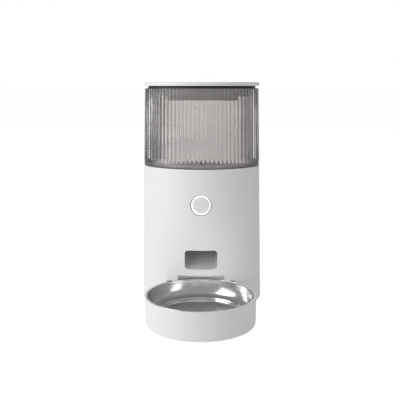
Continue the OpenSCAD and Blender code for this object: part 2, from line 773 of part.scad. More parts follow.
module power_inlet() {
    size = [inlet_size[0] + 3 - 2 * seat_gap, inlet_size[1] + 3 - 2 * seat_gap];
    y1 = rear_y(inlet_place[1] + size[1]) - 0.4;
    color([0.12, 0.12, 0.13]) difference() {
        y_prism(size, 1.9, inlet_place[0], inlet_place[1], y1 - 11, y1);
        y_prism(inlet_size, 1.7, inlet_place[0], inlet_place[1], y1 - 7, y1 + over);
    }
}

reset_travel = 0.8;
reset_y = rear_y(reset_place[1]);
module reset_button() {
    color([0.3, 0.3, 0.31])
        y_cylinder(reset_r, reset_place[0], reset_place[1], reset_y - 6, reset_y - 0.5);
}
module reset_board() {
    color("darkgreen") {
        y_prism([16, 12], 1, reset_place[0], reset_place[1], reset_y - 11.6, reset_y - 10);
        y_prism([5, 5], 0.5, reset_place[0], reset_place[1], reset_y - 10 - eps,
            reset_y - 6.2 - reset_travel);
    }
}

// ---- Batteries ----
tray_wall = 1.8;
tray_depth = 38;
tray_back = rear_y(door_z + door_size[1] / 2) - body_wall - seat_gap;
tray_size = [door_size[0] - 8, door_size[1] - 6];
module battery_tray() {
    color([0.7, 0.71, 0.72]) difference() {
        y_prism([tray_size[0] + 2 * tray_wall, tray_size[1] + 2 * tray_wall], 3, 0, door_z,
            tray_back - tray_depth, tray_back);
        y_prism(tray_size, 2, 0, door_z, tray_back - tray_depth + tray_wall, tray_back + over);
    }
}

cells = 3;
module battery_plates() {
    color("gold") for (i = [0 : cells - 1])
        translate([tray_size[0] / 2 - 0.6, tray_back - tray_depth + 8 + i * 9.5, door_z - 5])
            cube([0.5, 8, 10]);
}

module battery_springs() {
    color("gold") for (i = [0 : cells - 1])
        translate([-tray_size[0] / 2 + 0.1, tray_back - tray_depth + 12 + i * 9.5, door_z])
            rotate([0, 90, 0]) {
            cylinder(r = 3.6, h = 0.5, $fn = small_fn);
            translate([0, 0, 0.5 - eps]) difference() {
                cylinder(r1 = 3.4, r2 = 2.2, h = 6, $fn = small_fn);
                translate([0, 0, -eps]) cylinder(r1 = 2.6, r2 = 1.4, h = 6 + 3 * eps, $fn = small_fn);
            }
        }
}

module battery_door() {
    size = [door_size[0] - 2 * slide_gap, door_size[1] - 2 * slide_gap];
    color("white") difference() {
        intersection() {
            y_prism(size, 4 - slide_gap, 0, door_z, rear_y(0) - 10, rear_y(0) + over);
            difference() {
                tower_hollow(0);
                tower_hollow(body_wall);
            }
        }
        for (k = [0 : 3]) y_prism([16, 1], 0.4, 0, door_z + size[1] / 2 - 6 - 2.4 * k,
            rear_y(door_z + size[1] / 2) - 0.6, rear_y(0) + over);
    }
}

// ---- Base ----
foot_r = 8;
foot_places = [for (s = [-1, 1]) each [[s * (half_w - 26), tower_y - 6], [s * (half_w - 34),
    tower_y + rear_depth - 24]]];
module base_plate() {
    inset = body_wall + seat_gap + 1.2;
    color([0.8, 0.81, 0.82]) difference() {
        union() {
            loft([level_ring(base_z, inset), level_ring(base_z + base_t, inset)]);
            for (p = board_screw_places) translate([p[0], p[1], base_z + base_t - eps])
                cylinder(r = 3.4, h = board_z - base_z - base_t + eps, $fn = small_fn);
        }
        recess(body_wall + seat_gap, recess_h);
        for (p = boss_places) {
            translate([p[0], p[1], base_z - over]) cylinder(r = 1.6, h = 3 * base_t, $fn = small_fn);
            translate([p[0], p[1], base_z - over]) cylinder(r = 3.2, h = over + 1.6, $fn = small_fn);
        }
        for (p = board_screw_places) translate([p[0], p[1], base_z + 1])
            cylinder(r = pilot_r, h = 9, $fn = small_fn);
    }
}

module base_screws() {
    color("silver") for (p = boss_places) translate([p[0], p[1], base_z + 0.1]) screw(3, 1.4, shank_r, 12);
}

module body_feet() {
    color([0.25, 0.25, 0.26]) for (p = foot_places) translate([p[0], p[1], 0])
        cylinder(r = foot_r, h = base_z, $fn = 48);
}

// ---- Bowl holder and bowl ----
holder_z = 1.2;
holder_foot_r = holder_r - 0.2;
rim_w = 2.4;
seat_r = holder_r - rim_w;
seat_drop = 1.2;
cup_in_r = seat_r - 2.4;
module bowl_holder() {
    color("white") {
        translate([0, bowl_y, 0]) rotate_extrude($fn = 96)
            polygon([[0, holder_z + 2], [holder_foot_r - 12, holder_z + 2], [holder_foot_r - 9, holder_z],
                [holder_foot_r - 5, holder_z], [holder_foot_r - 1.6, holder_z + 1.4], [holder_foot_r,
                    holder_z + 4.6],
                [holder_r, holder_h - 2], [holder_r - 0.5, holder_h - 0.6], [holder_r - 1.4, holder_h],
                [seat_r, holder_h], [seat_r, holder_h - seat_drop - 0.9], [cup_in_r,
                    holder_h - seat_drop - 0.9],
                [cup_in_r - 1, holder_z + 2 + holder_wall + 3], [cup_in_r - 4, holder_z + 2 + holder_wall],
                [0, holder_z + 2 + holder_wall]]);
        translate([0, bowl_y, 0]) difference() {
            translate([-tongue[0] / 2, 0, tongue_z])
                cube([tongue[0], holder_r + tongue[2] - 4, tongue[1]]);
            cylinder(r = holder_foot_r - 3, h = 40, $fn = 96);
        }
    }
}

module holder_feet() {
    color([0.3, 0.3, 0.31]) for (a = [45 : 90 : 315])
        translate([(holder_r - 24) * cos(a), bowl_y + (holder_r - 24) * sin(a), 0])
            cylinder(r = 6, h = holder_z + 2, $fn = 48);
}

// Rolled steel bowl: outside profile up, inside profile down
bowl_rim_r = seat_r - slide_gap;
bowl_flange = 2.6;
bowl_in_r = bowl_rim_r - bowl_flange;
bowl_rim_z = holder_h + 0.2;
module bowl() {
    z0 = bowl_floor_z;
    step_r = min(bowl_floor_r + 6, bowl_in_r - 3);
    wall_r = bowl_in_r - 1;
    seat = bowl_rim_z - 1.7;
    color("silver") translate([0, bowl_y, 0]) rotate_extrude($fn = 96)
        polygon(concat(
            [[0, z0 - bowl_t], [bowl_floor_r, z0 - bowl_t], [bowl_floor_r + 1, z0 + 2.4],
                [step_r, z0 + 3.4], [step_r + bowl_t, z0 + 6.4]],
            [for (i = [0 : 4]) let (a = -60 + 60 * i / 4, r = 14)
                [wall_r + bowl_t - r + r * cos(a), z0 + 21 + r * sin(a)]],
            [[bowl_in_r + bowl_t - 0.6, seat - 0.4], [bowl_rim_r - 0.6, seat - 0.4], [bowl_rim_r,
                seat + 0.6],
                [bowl_rim_r - 0.8, bowl_rim_z - 0.3], [bowl_rim_r - 2.2, bowl_rim_z], [bowl_in_r,
                    seat + 0.5]],
            [for (i = [4 : -1 : 0]) let (a = -60 + 60 * i / 4, r = 14)
                [wall_r - r + r * cos(a), z0 + 21 + r * sin(a)]],
            [[step_r, z0 + 7], [step_r - 1, z0 + 4.2], [bowl_floor_r - 0.2, z0 + 3.2],
                [bowl_floor_r - 1, z0],
                [0, z0]]));
}

lid();
lid_plug();
lid_seal();
desiccant_box();
desiccant_cover();
hopper();
hopper_floor();
wheel_cover();
wiper();
wheel_housing();
portion_wheel();
stirrer();
drive_coupling();
output_gear();
motor_pinion();
motor();
gearbox_case();
gearbox_cover();
motor_bracket();
gearbox_screws();
body_shell();
bowl_bay();
deck();
deck_screws();
chute();
outlet_trim();
sensor_emitter();
sensor_receiver();
feed_button();
light_ring();
button_housing();
button_board();
button_switch();
main_board();
board_screws();
speaker();
power_inlet();
reset_button();
reset_board();
battery_tray();
battery_plates();
battery_springs();
battery_door();
base_plate();
base_screws();
body_feet();
bowl_holder();
holder_feet();
bowl();
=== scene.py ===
import json
from math import atan2, cos, hypot, pi, radians, sin, sqrt

import bmesh
import bpy
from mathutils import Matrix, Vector


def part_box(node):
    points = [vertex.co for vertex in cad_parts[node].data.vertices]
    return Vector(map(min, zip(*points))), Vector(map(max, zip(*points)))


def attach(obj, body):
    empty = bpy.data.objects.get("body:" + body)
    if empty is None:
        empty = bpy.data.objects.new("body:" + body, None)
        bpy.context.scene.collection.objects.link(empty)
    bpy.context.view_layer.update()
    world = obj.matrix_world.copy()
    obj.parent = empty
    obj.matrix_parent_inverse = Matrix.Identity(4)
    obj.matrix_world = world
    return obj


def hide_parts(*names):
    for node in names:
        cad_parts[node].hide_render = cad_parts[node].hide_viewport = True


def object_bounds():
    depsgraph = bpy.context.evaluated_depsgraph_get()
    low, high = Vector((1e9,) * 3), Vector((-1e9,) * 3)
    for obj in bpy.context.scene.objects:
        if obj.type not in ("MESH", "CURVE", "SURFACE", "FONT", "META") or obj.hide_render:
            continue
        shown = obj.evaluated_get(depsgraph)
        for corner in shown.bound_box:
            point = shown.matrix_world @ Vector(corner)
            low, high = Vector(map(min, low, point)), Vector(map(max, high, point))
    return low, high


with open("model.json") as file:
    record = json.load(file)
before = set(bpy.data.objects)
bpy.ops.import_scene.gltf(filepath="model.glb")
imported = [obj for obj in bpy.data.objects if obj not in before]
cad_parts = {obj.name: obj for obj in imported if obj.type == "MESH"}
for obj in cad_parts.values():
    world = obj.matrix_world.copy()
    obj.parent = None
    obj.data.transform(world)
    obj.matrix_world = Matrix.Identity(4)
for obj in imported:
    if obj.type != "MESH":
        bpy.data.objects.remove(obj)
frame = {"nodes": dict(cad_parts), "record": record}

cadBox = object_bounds()
nodes = frame["nodes"]
mm = 0.001
print("stage 1: frame loaded,", len(nodes), "CAD nodes")

shellLow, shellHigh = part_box("body_shell")
hopperLow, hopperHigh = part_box("hopper")
lidLow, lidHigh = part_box("lid")
bowlLow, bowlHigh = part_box("bowl")
holderLow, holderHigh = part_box("bowl_holder")
trimLow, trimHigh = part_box("outlet_trim")
buttonLow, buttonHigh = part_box("feed_button")
ringLow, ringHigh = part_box("light_ring")
doorLow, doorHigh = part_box("battery_door")
inletLow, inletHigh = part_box("power_inlet")
resetLow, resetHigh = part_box("reset_button")
speakerLow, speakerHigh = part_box("speaker")

# The tower is an oval whose wall leans inwards; an inset moves a point inwards along its normal
tower = {
    "halfWidth": shellHigh.x,
    "frontBulge": 71 * mm,
    "rearDepth": 78 * mm,
    "frontCorner": 50 * mm,
    "rearCorner": 35 * mm,
    "lean": 0.0226,
    "footEdge": 4 * mm,
    "wall": 2.6 * mm,
}
towerY = shellHigh.y - tower["rearDepth"]
footZ = shellLow.z + tower["footEdge"]
sideX = tower["halfWidth"] - tower["frontCorner"]
frontRadius = ((tower["halfWidth"] ** 2 + tower["frontBulge"] ** 2
                - 2 * tower["halfWidth"] * tower["frontCorner"])
               / (2 * (tower["frontBulge"] - tower["frontCorner"])))
frontCentre = frontRadius - tower["frontBulge"]
frontHalfAngle = atan2(sideX, frontCentre)
rearX = tower["halfWidth"] - tower["rearCorner"]
rearY = tower["rearDepth"] - tower["rearCorner"]
bowlCentre = Vector((0, (bowlLow.y + bowlHigh.y) / 2, 0))
holderRadius = holderHigh.x


def lean(z):
    return tower["lean"] * (z - footZ)


def frontWall(x, z, inset=0.0):
    radius = frontRadius - lean(z) - inset
    return towerY + frontCentre - sqrt(radius * radius - x * x)


def ovalStretches():
    half, width = tower["halfWidth"], frontHalfAngle
    return [
        ("line", (0, tower["rearDepth"]), (-rearX, tower["rearDepth"]), pi / 2),
        ("arc", (-rearX, rearY), tower["rearCorner"], pi / 2, pi),
        ("line", (-half, rearY), (-half, 0), pi),
        ("arc", (-sideX, 0), tower["frontCorner"], pi, 1.5 * pi - width),
        ("arc", (0, frontCentre), frontRadius, 1.5 * pi - width, 1.5 * pi + width),
        ("arc", (sideX, 0), tower["frontCorner"], 1.5 * pi + width, 2 * pi),
        ("line", (half, 0), (half, rearY), 0),
        ("arc", (rearX, rearY), tower["rearCorner"], 0, pi / 2),
        ("line", (rearX, tower["rearDepth"]), (0, tower["rearDepth"]), pi / 2),
    ]


def stretchLength(stretch):
    if stretch[0] == "line":
        return hypot(stretch[2][0] - stretch[1][0], stretch[2][1] - stretch[1][1])
    return stretch[2] * abs(stretch[4] - stretch[3])


ovalLength = sum(stretchLength(stretch) for stretch in ovalStretches())


def ovalTrack(count):
    # Points at even steps along the outline from the middle of the back, each with the way its wall faces
    track = []
    stretches = ovalStretches()
    passed, place = 0.0, 0
    for step in range(count):
        along = ovalLength * step / count
        while along > passed + stretchLength(stretches[place]) + 1e-9:
            passed += stretchLength(stretches[place])
            place += 1
        stretch = stretches[place]
        share = (along - passed) / stretchLength(stretch)
        if stretch[0] == "line":
            (x0, y0), (x1, y1), facing = stretch[1:]
            track.append((x0 + (x1 - x0) * share, y0 + (y1 - y0) * share + towerY, facing))
        else:
            (cx, cy), radius, start, end = stretch[1:]
            facing = start + (end - start) * share
            track.append((cx + radius * cos(facing), cy + radius * sin(facing) + towerY, facing))
    return track


def ovalLoop(track, z, inset, leaning=True):
    depth = inset + (lean(z) if leaning else 0)
    return [Vector((x - depth * cos(facing), y - depth * sin(facing), z)) for x, y, facing in track]


def roundLoop(centre, radius, z, count):
    turns = [2 * pi * k / count for k in range(count)]
    return [Vector((centre.x + radius * cos(a), centre.y + radius * sin(a), z)) for a in turns]


def deselectAll():
    if bpy.context.object and bpy.context.object.mode != "OBJECT":
        bpy.ops.object.mode_set(mode="OBJECT")
    bpy.ops.object.select_all(action="DESELECT")


def pick(piece):
    deselectAll()
    piece.select_set(True)
    bpy.context.view_layer.objects.active = piece


def sweepLoops(name, loops, close="caps"):
    # A circle is laid on the first loop and extruded from loop to loop, then capped or joined into a ring
    deselectAll()
    bpy.ops.mesh.primitive_circle_add(vertices=len(loops[0]), radius=1, fill_type="NOTHING",
                                      location=(0, 0, 0))
    piece = bpy.context.object
    piece.name = name
    for vertex, place in zip(piece.data.vertices, loops[0]):
        vertex.co = place
    bpy.ops.object.mode_set(mode="EDIT")
    bpy.ops.mesh.select_mode(type="EDGE")
    bpy.ops.mesh.select_all(action="SELECT")
    if close == "caps":
        bpy.ops.mesh.edge_face_add()
        bpy.ops.mesh.select_all(action="SELECT")
    last = loops[0]
    if close == "ring":
        loops = loops + [loops[0]]
    for loop in loops[1:]:
        bpy.ops.mesh.extrude_region_move()
        mesh = bmesh.from_edit_mesh(piece.data)
        towards = {tuple(round(value, 7) for value in Vector(old)): new for old, new in zip(last, loop)}
        for vertex in mesh.verts:
            if vertex.select:
                vertex.co = towards[tuple(round(value, 7) for value in vertex.co)]
        bmesh.update_edit_mesh(piece.data)
        last = [Vector(tuple(vertex)) for vertex in loop]
    bpy.ops.mesh.select_all(action="SELECT")
    bpy.ops.mesh.remove_doubles(threshold=1e-6)
    bpy.ops.mesh.normals_make_consistent(inside=False)
    bpy.ops.object.mode_set(mode="OBJECT")
    return piece


def smooth(piece, degreesSharp=35):
    pick(piece)
    bpy.ops.object.shade_smooth_by_angle(angle=radians(degreesSharp))


def roundEdges(piece, width, sharperThan=40, segments=2):
    pick(piece)
    bevel = piece.modifiers.new("edgeRound", "BEVEL")
    bevel.width = width
    bevel.segments = segments
    bevel.limit_method = "ANGLE"
    bevel.angle_limit = radians(sharperThan)
    bpy.ops.object.modifier_apply(modifier=bevel.name)


def carve(piece, cutter, operation="DIFFERENCE"):
    pick(piece)
    boolean = piece.modifiers.new("carve", "BOOLEAN")
    boolean.operation = operation
    boolean.object = cutter
    boolean.solver = "EXACT"
    bpy.ops.object.modifier_apply(modifier=boolean.name)
    bpy.data.objects.remove(cutter)


def placeInMesh(piece):
    pick(piece)
    bpy.ops.object.transform_apply(location=True, rotation=True, scale=True)


def roundedBox(low, high, corner, along="Y"):
    # A cube with the four edges that run along one axis rounded
    deselectAll()
    middle, size = (low + high) / 2, high - low
    bpy.ops.mesh.primitive_cube_add(size=1, location=middle, scale=size)
    piece = bpy.context.object
    placeInMesh(piece)
    axis = "XYZ".index(along)
    bpy.ops.object.mode_set(mode="EDIT")
    bpy.ops.mesh.select_mode(type="EDGE")
    bpy.ops.mesh.select_all(action="DESELECT")
    mesh = bmesh.from_edit_mesh(piece.data)
    for edge in mesh.edges:
        run = (edge.verts[1].co - edge.verts[0].co).normalized()
        edge.select_set(abs(run[axis]) > 0.9)
    bmesh.update_edit_mesh(piece.data)
    bpy.ops.mesh.bevel(offset=corner, segments=6, affect="EDGES")
    bpy.ops.object.mode_set(mode="OBJECT")
    return piece


def rod(centre, radius, length, sides=64, along="Y"):
    deselectAll()
    turn = {"X": (0, pi / 2, 0), "Y": (pi / 2, 0, 0), "Z": (0, 0, 0)}[along]
    bpy.ops.mesh.primitive_cylinder_add(vertices=sides, radius=radius, depth=length, location=centre,
                                        rotation=turn)
    piece = bpy.context.object
    placeInMesh(piece)
    return piece


def joined(name, pieces):
    deselectAll()
    for piece in pieces:
        piece.select_set(True)
    bpy.context.view_layer.objects.active = pieces[0]
    if len(pieces) > 1:
        bpy.ops.object.join()
    pieces[0].name = name
    return pieces[0]


def settle(piece, name, body, slot, material, *standsFor):
    piece.name = name
    piece.data.materials.clear()
    piece.data.materials.append(material)
    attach(piece, body)
    if standsFor:
        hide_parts(*standsFor)
    return piece


def addGroup(name, inputs, outputs):
    group = bpy.data.node_groups.new(name, "ShaderNodeTree")
    for label, kind, value in inputs:
        socket = group.interface.new_socket(label, in_out="INPUT", socket_type=kind)
        if value is not None:
            socket.default_value = value
    for label, kind in outputs:
        group.interface.new_socket(label, in_out="OUTPUT", socket_type=kind)
    return group, group.nodes.new("NodeGroupInput"), group.nodes.new("NodeGroupOutput")


def addNode(tree, kind, values=(), **settings):
    node = tree.nodes.new(kind)
    for key, value in settings.items():
        setattr(node, key, value)
    for key, value in dict(values).items():
        node.inputs[key].default_value = value
    return node


def buildMouldedGroup():
    # Fine moulding grain, faint cloudiness of colour and a little unevenness of gloss
    group, given, result = addGroup(
        "mouldedPlastic",
        [("Color", "NodeSocketColor", (0.8, 0.8, 0.8, 1)), ("Shade", "NodeSocketFloat", 0.04),
         ("Roughness", "NodeSocketFloat", 0.4), ("Uneven", "NodeSocketFloat", 0.05),
         ("Grain size", "NodeSocketFloat", 2600.0), ("Grain", "NodeSocketFloat", 0.12)],
        [("Color", "NodeSocketColor"), ("Roughness", "NodeSocketFloat"), ("Normal", "NodeSocketVector")])
    links = group.links
    place = addNode(group, "ShaderNodeTexCoord")
    cloud = addNode(group, "ShaderNodeTexNoise", {"Scale": 14.0, "Detail": 3.0, "Roughness": 0.55})
    fine = addNode(group, "ShaderNodeTexNoise", {"Detail": 2.0, "Roughness": 0.6})
    links.new(place.outputs["Object"], cloud.inputs["Vector"])
    links.new(place.outputs["Object"], fine.inputs["Vector"])
    links.new(given.outputs["Grain size"], fine.inputs["Scale"])
    centred = addNode(group, "ShaderNodeMath", {1: 0.5}, operation="SUBTRACT")
    links.new(cloud.outputs["Fac"], centred.inputs[0])
    shade = addNode(group, "ShaderNodeMath", operation="MULTIPLY_ADD")
    shade.inputs[2].default_value = 1.0
    links.new(centred.outputs[0], shade.inputs[0])
    links.new(given.outputs["Shade"], shade.inputs[1])
    tint = addNode(group, "ShaderNodeVectorMath", operation="SCALE")
    links.new(given.outputs["Color"], tint.inputs[0])
    links.new(shade.outputs[0], tint.inputs["Scale"])
    links.new(tint.outputs[0], result.inputs["Color"])
    gloss = addNode(group, "ShaderNodeMath", operation="MULTIPLY_ADD")
    links.new(centred.outputs[0], gloss.inputs[0])
    links.new(given.outputs["Uneven"], gloss.inputs[1])
    links.new(given.outputs["Roughness"], gloss.inputs[2])
    links.new(gloss.outputs[0], result.inputs["Roughness"])
    bump = addNode(group, "ShaderNodeBump", {"Distance": 0.00012})
    links.new(given.outputs["Grain"], bump.inputs["Strength"])
    links.new(fine.outputs["Fac"], bump.inputs["Height"])
    links.new(bump.outputs["Normal"], result.inputs["Normal"])
    return group


mouldedGroup = buildMouldedGroup()


def shaderMaterial(name, values):
    material = bpy.data.materials.new(name)
    material.use_nodes = True
    shader = material.node_tree.nodes["Principled BSDF"]
    for key, value in values.items():
        shader.inputs[key].default_value = value
    return material, material.node_tree, shader


def mouldedMaterial(name, look, values=None):
    material, tree, shader = shaderMaterial(name, values or {})
    grain = tree.nodes.new("ShaderNodeGroup")
    grain.node_tree = mouldedGroup
    for key, value in look.items():
        grain.inputs[key].default_value = value
    tree.links.new(grain.outputs["Color"], shader.inputs["Base Color"])
    tree.links.new(grain.outputs["Roughness"], shader.inputs["Roughness"])
    tree.links.new(grain.outputs["Normal"], shader.inputs["Normal"])
    return material


def gray(value, warm=0.0):
    return (value * (1 + warm), value, value * (1 - warm), 1)


whiteShell = mouldedMaterial("whiteShell", {"Color": gray(0.78, 0.004), "Shade": 0.03, "Roughness": 0.42,
                                            "Uneven": 0.06, "Grain size": 2600, "Grain": 0.10},
                             {"Specular IOR Level": 0.45})
innerWhite = mouldedMaterial("innerWhite", {"Color": gray(0.66), "Shade": 0.05, "Roughness": 0.55,
                                            "Uneven": 0.08, "Grain size": 2000, "Grain": 0.2})
darkPlastic = mouldedMaterial("darkPlastic", {"Color": gray(0.03), "Shade": 0.25, "Roughness": 0.5,
                                              "Uneven": 0.12, "Grain size": 1800, "Grain": 0.3})
chuteGrey = mouldedMaterial("chuteGrey", {"Color": gray(0.42), "Shade": 0.08, "Roughness": 0.45,
                                          "Uneven": 0.08, "Grain size": 2200, "Grain": 0.15})
softRubber = mouldedMaterial("softRubber", {"Color": gray(0.035), "Shade": 0.3, "Roughness": 0.75,
                                            "Uneven": 0.1, "Grain size": 1500, "Grain": 0.5})
clearSilicone = mouldedMaterial("clearSilicone", {"Color": gray(0.6), "Shade": 0.06, "Roughness": 0.5,
                                                  "Uneven": 0.1, "Grain size": 1500, "Grain": 0.25},
                                {"Subsurface Weight": 0.3, "Subsurface Scale": 0.002})
orangeSilicone = mouldedMaterial("orangeSilicone", {"Color": (0.75, 0.22, 0.03, 1), "Shade": 0.1,
                                                    "Roughness": 0.5, "Uneven": 0.1, "Grain": 0.25})
acetal = mouldedMaterial("acetal", {"Color": (0.78, 0.74, 0.62, 1), "Shade": 0.05, "Roughness": 0.35,
                                    "Uneven": 0.06, "Grain": 0.1})
boardGreen = mouldedMaterial("boardGreen", {"Color": (0.01, 0.09, 0.03, 1), "Shade": 0.6, "Roughness": 0.3,
                                            "Uneven": 0.2, "Grain size": 900, "Grain": 0.3})
plated = mouldedMaterial("plated", {"Color": gray(0.55), "Shade": 0.1, "Roughness": 0.3, "Uneven": 0.15,
                                    "Grain size": 1800, "Grain": 0.12}, {"Metallic": 1.0})
contactBrass = mouldedMaterial("contactBrass", {"Color": (0.72, 0.52, 0.22, 1), "Shade": 0.15,
                                                "Roughness": 0.28, "Uneven": 0.15, "Grain": 0.1},
                               {"Metallic": 1.0})


def buildSmokeClear():
    # Tinted clear plastic whose tint deepens where it is seen edge on
    look = {"Roughness": 0.04, "IOR": 1.3, "Transmission Weight": 1.0, "Coat Weight": 0.6,
            "Coat Roughness": 0.06}
    material, tree, shader = shaderMaterial("smokeClear", look)
    facing = addNode(tree, "ShaderNodeLayerWeight", {"Blend": 0.35})
    tint = addNode(tree, "ShaderNodeValToRGB")
    tint.color_ramp.elements[0].color = (0.665, 0.645, 0.64, 1)
    tint.color_ramp.elements[1].color = (0.10, 0.10, 0.101, 1)
    tint.color_ramp.elements[0].position = 0.1
    tint.color_ramp.elements[1].position = 0.36
    place = addNode(tree, "ShaderNodeTexCoord")
    waves = addNode(tree, "ShaderNodeTexNoise", {"Scale": 30.0, "Detail": 1.0})
    bump = addNode(tree, "ShaderNodeBump", {"Strength": 0.008, "Distance": 0.0005})
    tree.links.new(facing.outputs["Facing"], tint.inputs["Fac"])
    tree.links.new(tint.outputs["Color"], shader.inputs["Base Color"])
    tree.links.new(place.outputs["Object"], waves.inputs["Vector"])
    tree.links.new(waves.outputs["Fac"], bump.inputs["Height"])
    tree.links.new(bump.outputs["Normal"], shader.inputs["Normal"])
    return material


def buildBowlSteel():
    # Polished sheet steel with the faint rings that spinning leaves round the bowl's axis
    look = {"Metallic": 1.0, "Base Color": (0.76, 0.76, 0.765, 1)}
    material, tree, shader = shaderMaterial("bowlSteel", look)
    place = addNode(tree, "ShaderNodeTexCoord")
    centre = addNode(tree, "ShaderNodeMapping")
    centre.inputs["Location"].default_value = (0, -bowlCentre.y, 0)
    flat = addNode(tree, "ShaderNodeVectorMath", operation="MULTIPLY")
    flat.inputs[1].default_value = (1, 1, 0)
    reach = addNode(tree, "ShaderNodeVectorMath", operation="LENGTH")
    rings = addNode(tree, "ShaderNodeTexNoise", {"Scale": 900.0, "Detail": 3.0}, noise_dimensions="1D")
    smear = addNode(tree, "ShaderNodeTexNoise", {"Scale": 35.0, "Detail": 3.0})
    gloss = addNode(tree, "ShaderNodeMapRange", {"To Min": 0.15, "To Max": 0.24})
    bump = addNode(tree, "ShaderNodeBump", {"Strength": 0.12, "Distance": 0.00005})
    links = tree.links
    links.new(place.outputs["Object"], centre.inputs["Vector"])
    links.new(centre.outputs["Vector"], flat.inputs[0])
    links.new(flat.outputs[0], reach.inputs[0])
    links.new(reach.outputs["Value"], rings.inputs["W"])
    links.new(place.outputs["Object"], smear.inputs["Vector"])
    links.new(smear.outputs["Fac"], gloss.inputs["Value"])
    links.new(gloss.outputs["Result"], shader.inputs["Roughness"])
    links.new(rings.outputs["Fac"], bump.inputs["Height"])
    links.new(bump.outputs["Normal"], shader.inputs["Normal"])
    return material


def buildLitRing():
    look = {"Base Color": (0.9, 0.92, 0.95, 1), "Roughness": 0.3, "Emission Strength": 0.4}
    material, tree, shader = shaderMaterial("litRing", look)
    place = addNode(tree, "ShaderNodeTexCoord")
    uneven = addNode(tree, "ShaderNodeTexNoise", {"Scale": 60.0, "Detail": 2.0})
    glow = addNode(tree, "ShaderNodeMix", data_type="RGBA")
    glow.inputs["A"].default_value = (0.86, 0.9, 0.95, 1)
    glow.inputs["B"].default_value = (1, 1, 1, 1)
    tree.links.new(place.outputs["Object"], uneven.inputs["Vector"])
    tree.links.new(uneven.outputs["Fac"], glow.inputs["Factor"])
    tree.links.new(glow.outputs["Result"], shader.inputs["Emission Color"])
    return material


def buildSplitPlastic(name, below, above, height):
    # Moulded plastic of two tones that meet at one height; on the lid plug the dark upper tone is painted
    # shadow in the gap under the lid
    material = mouldedMaterial(name, {"Shade": 0.12, "Roughness": 0.5, "Uneven": 0.1, "Grain size": 1800,
                                      "Grain": 0.2})
    tree = material.node_tree
    grain = [node for node in tree.nodes if node.type == "GROUP"][0]
    place = addNode(tree, "ShaderNodeTexCoord")
    split = addNode(tree, "ShaderNodeSeparateXYZ")
    share = addNode(tree, "ShaderNodeMapRange", {"From Min": height, "From Max": height + 0.5 * mm})
    tone = addNode(tree, "ShaderNodeMix", data_type="RGBA")
    tone.inputs["A"].default_value = gray(below)
    tone.inputs["B"].default_value = gray(above)
    tree.links.new(place.outputs["Object"], split.inputs[0])
    tree.links.new(split.outputs["Z"], share.inputs["Value"])
    tree.links.new(share.outputs["Result"], tone.inputs["Factor"])
    tree.links.new(tone.outputs["Result"], grain.inputs["Color"])
    return material


smokeClear = buildSmokeClear()
funnelPlastic = buildSplitPlastic("funnelPlastic", 0.03, 0.85, hopperLow.z - 4 * mm)  # pale collar
# The plug's neck above the hopper's rim is painted nearly black as shadow in the gap between lid and hopper
plugPaintedGapShadow = buildSplitPlastic("plugPaintedGapShadow", 0.66, 0.02, hopperHigh.z - 1 * mm)  # dark neck
bowlSteel = buildBowlSteel()
litRing = buildLitRing()
print("stage 2: materials made")

body = {"columns": 288, "rowStep": 4 * mm, "lip": 0.5 * mm, "edge": 0.3 * mm, "buttonGroove": 1.0 * mm,
        "doorGap": 0.5 * mm, "holeCorner": 6.5 * mm, "doorCorner": 4 * mm, "speakerHole": 1.2 * mm,
        "speakerPitch": 5 * mm, "speakerRim": 3 * mm, "speakerRows": 3, "rimClearance": 1.3 * mm,
        "recessPlay": 1 * mm, "slotWidth": 68 * mm, "slotLow": 20 * mm, "slotCorner": 3 * mm,
        "inletCorner": 2 * mm, "resetPlay": 0.4 * mm, "cutStart": 5 * mm, "cutDepth": 22 * mm,
        "footTurns": (21, 32, 45, 58, 72), "innerRows": (0.75, 0.5, 0.25)}


